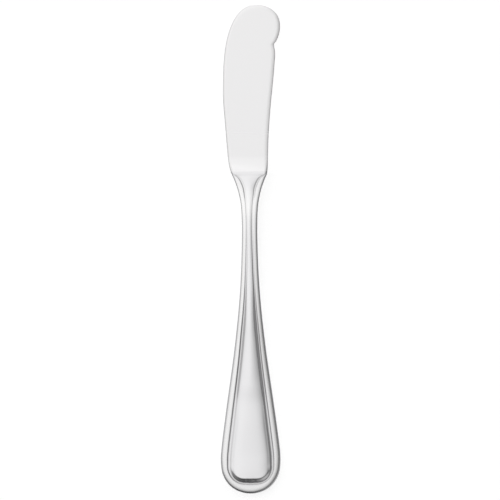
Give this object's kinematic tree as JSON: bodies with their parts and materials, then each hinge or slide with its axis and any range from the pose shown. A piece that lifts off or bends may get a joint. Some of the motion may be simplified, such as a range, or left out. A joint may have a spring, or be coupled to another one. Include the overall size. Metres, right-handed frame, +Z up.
{
  "type": "butter knife",
  "caption": "One-piece stainless butter knife: flat flared handle with raised thread and crowned panel, narrow neck, broad blade with a notched, rounded tip.",
  "frame": {"origin": "centre of the bounding box's base: on the table, halfway along the knife and halfway across it", "axes": "+Y along the knife towards the blade's tip, +X across it towards the spine and the notch, +Z up from the table the knife lies on"},
  "size_m": [0.0214, 0.17, 0.0041],
  "materials": {
    "polished_steel": "bright polished, with a finer satin face on the blade"
  },
  "bodies": {
    "root": {"butter_knife": "polished_steel"}
  },
  "joints": []
}
